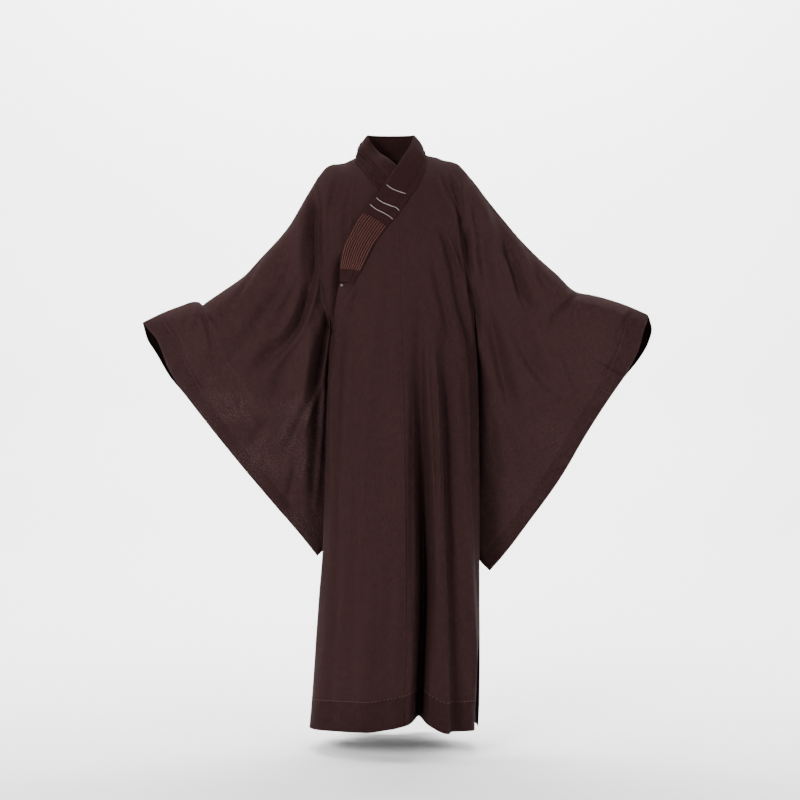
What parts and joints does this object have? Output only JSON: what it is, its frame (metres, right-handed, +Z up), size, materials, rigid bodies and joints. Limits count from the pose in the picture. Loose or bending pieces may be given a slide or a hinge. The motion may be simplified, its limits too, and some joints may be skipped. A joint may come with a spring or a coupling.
{
  "type": "buddhist monk robe",
  "caption": "Full-length crossed-collar ceremonial robe with very wide sleeves, held in its worn, hollow pose.",
  "frame": {"origin": "between the shoulders at the base of the neck, where the robe rests on its wearer", "axes": "+Z up, the wearer faces -Y, +X is the wearer's left"},
  "size_m": [1.213, 0.4034, 1.4231],
  "materials": {
    "robe_cloth": "matt plain weave",
    "collar_cloth": "matt plain weave, several layers stitched",
    "patch_cloth": "plain weave with close rows of reddish stitching",
    "button": "satin"
  },
  "bodies": {
    "root": {"back": "robe_cloth", "front_left": "robe_cloth", "front_overlap": "robe_cloth", "front_right": "robe_cloth", "sleeve_left": "robe_cloth", "sleeve_right": "robe_cloth", "collar": "collar_cloth", "collar_patch": "patch_cloth", "button": "button"}
  },
  "joints": []
}
